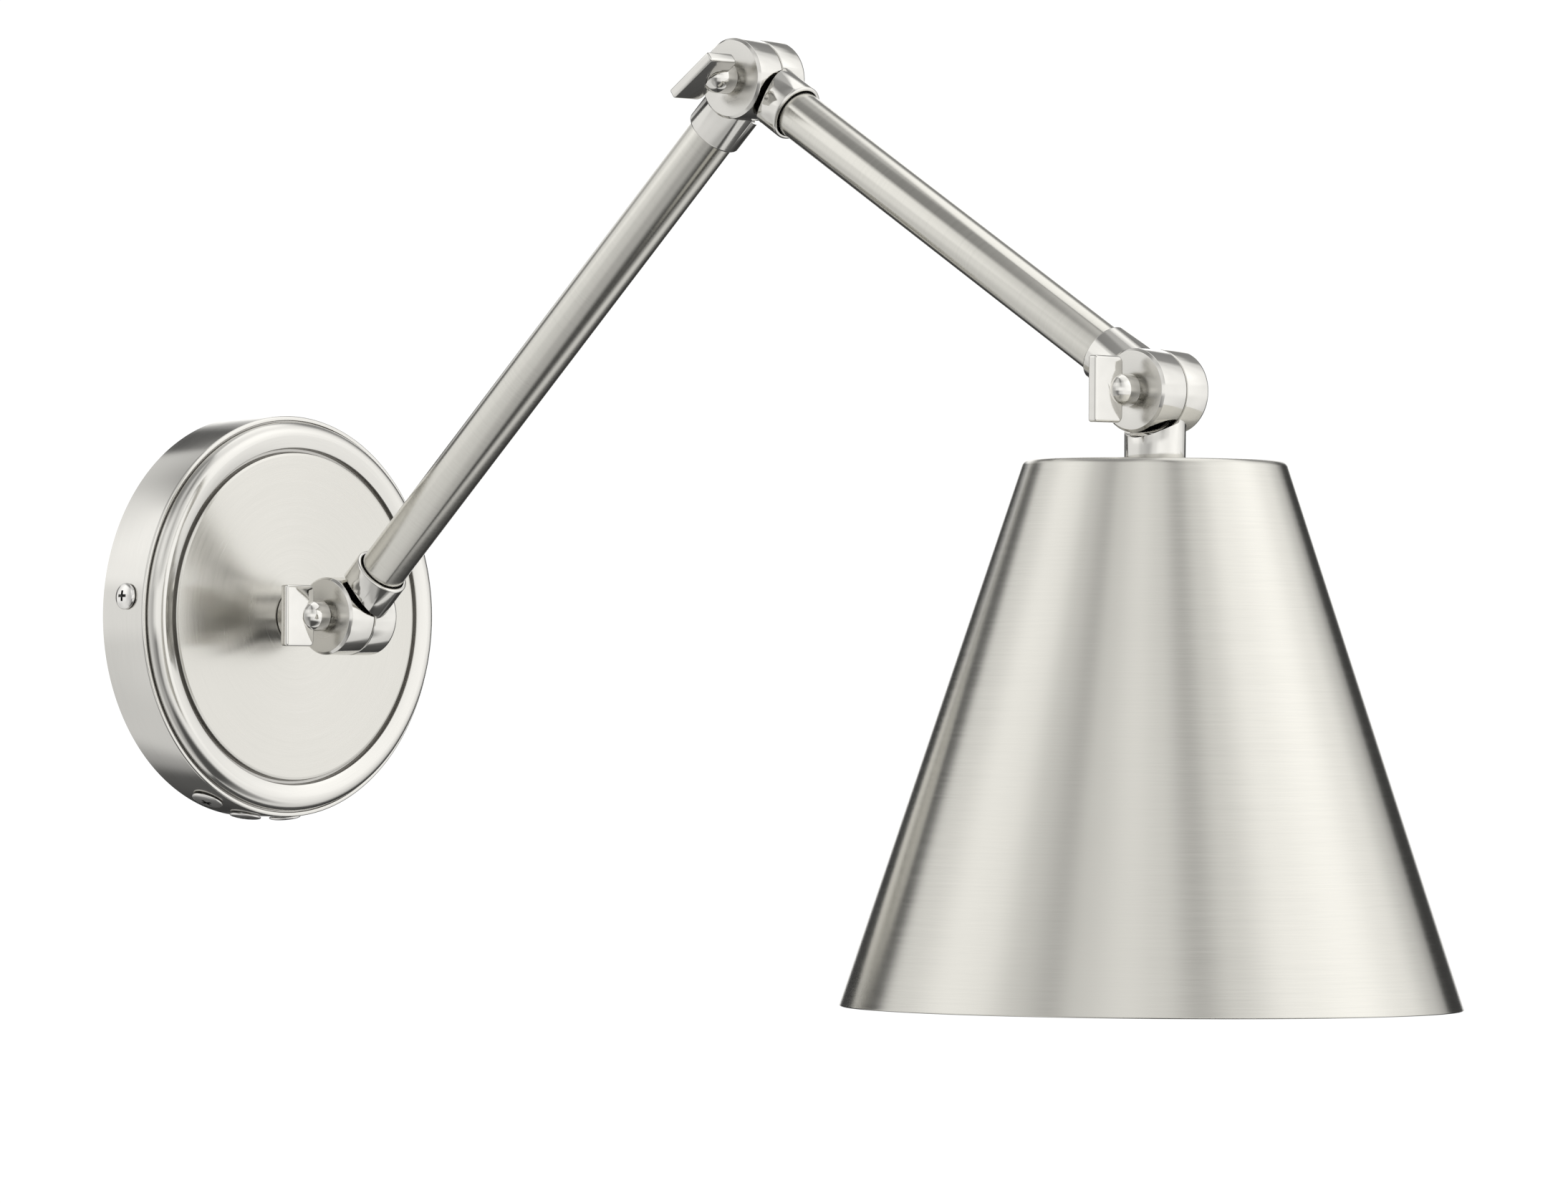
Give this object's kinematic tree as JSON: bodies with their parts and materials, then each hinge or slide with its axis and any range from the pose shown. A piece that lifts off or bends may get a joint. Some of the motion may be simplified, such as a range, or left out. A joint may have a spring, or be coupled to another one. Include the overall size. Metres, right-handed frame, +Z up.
{
  "type": "swing arm wall sconce",
  "caption": "Swing arm wall sconce in brushed nickel: round canopy, two straight arms on friction swivels with thumb keys, and a cone shade over a screw lamp holder.",
  "frame": {"origin": "centre of the crossbar's back face, on the wall plane and on the canopy's axis", "axes": "+Y points into the wall, +Z is up, the lamp reaches out along -Y, the swivels turn about X and their thumb keys are on the -X side"},
  "size_m": [0.1806, 0.4694, 0.2876],
  "materials": {
    "brushed_nickel": "fine directional brushing, satin",
    "polished_nickel": "soft polished, slightly brushed",
    "zinc_plate": "zinc plated, dull",
    "green_screw": "green ground screw",
    "brass": "plain brass",
    "porcelain": "white glazed",
    "fibre": "vulcanised fibre, matt",
    "lead_jacket": "black jacket"
  },
  "bodies": {
    "base": {"canopy": "brushed_nickel", "crossbar": "zinc_plate", "ground_screw": "green_screw", "side_screw_left": "polished_nickel", "side_screw_right": "polished_nickel", "rim_screw_left": "polished_nickel", "rim_screw_middle": "polished_nickel", "rim_screw_right": "polished_nickel", "stub_swivel": "polished_nickel", "stub_washer": "zinc_plate", "stub_nut": "brass", "lower_friction_ring": "fibre"},
    "lower_arm": {"lower_arm_swivel": "polished_nickel", "lower_tube": "brushed_nickel", "lower_lead": "lead_jacket", "elbow_near_swivel": "polished_nickel", "elbow_friction_ring": "fibre"},
    "upper_arm": {"elbow_far_swivel": "polished_nickel", "upper_tube": "brushed_nickel", "upper_lead": "lead_jacket", "head_near_swivel": "polished_nickel", "head_friction_ring": "fibre"},
    "lamp_head": {"shade_neck_swivel": "polished_nickel", "shade": "brushed_nickel", "neck_washer": "zinc_plate", "neck_nut": "brass", "socket_cap": "brushed_nickel", "socket_body": "porcelain", "screw_shell": "brass", "centre_contact": "brass"},
    "lower_thumb_key": {"lower_key": "polished_nickel"},
    "elbow_thumb_key": {"elbow_key": "polished_nickel"},
    "head_thumb_key": {"head_key": "polished_nickel"}
  },
  "joints": [
    {"name": "lower_swivel", "type": "hinge", "parent": "base", "child": "lower_arm", "pos_m": [0, -0.0446, 0], "axis": [1, 0, 0], "range_deg": [-47, 133]},
    {"name": "elbow_swivel", "type": "hinge", "parent": "lower_arm", "child": "upper_arm", "pos_m": [0, -0.21858, 0.16167], "axis": [1, 0, 0], "range_deg": [-164, 16]},
    {"name": "head_swivel", "type": "hinge", "parent": "upper_arm", "child": "lamp_head", "pos_m": [0, -0.37913, 0.06482], "axis": [1, 0, 0], "range_deg": [-149, 31]},
    {"name": "lower_key_turn", "type": "hinge", "parent": "base", "child": "lower_thumb_key", "pos_m": [0, -0.0446, 0], "axis": [-1, 0, 0], "range_deg": [0, 180]},
    {"name": "elbow_key_turn", "type": "hinge", "parent": "lower_arm", "child": "elbow_thumb_key", "pos_m": [0, -0.21858, 0.16167], "axis": [-1, 0, 0], "range_deg": [0, 180]},
    {"name": "head_key_turn", "type": "hinge", "parent": "upper_arm", "child": "head_thumb_key", "pos_m": [0, -0.37913, 0.06482], "axis": [-1, 0, 0], "range_deg": [0, 180]}
  ]
}
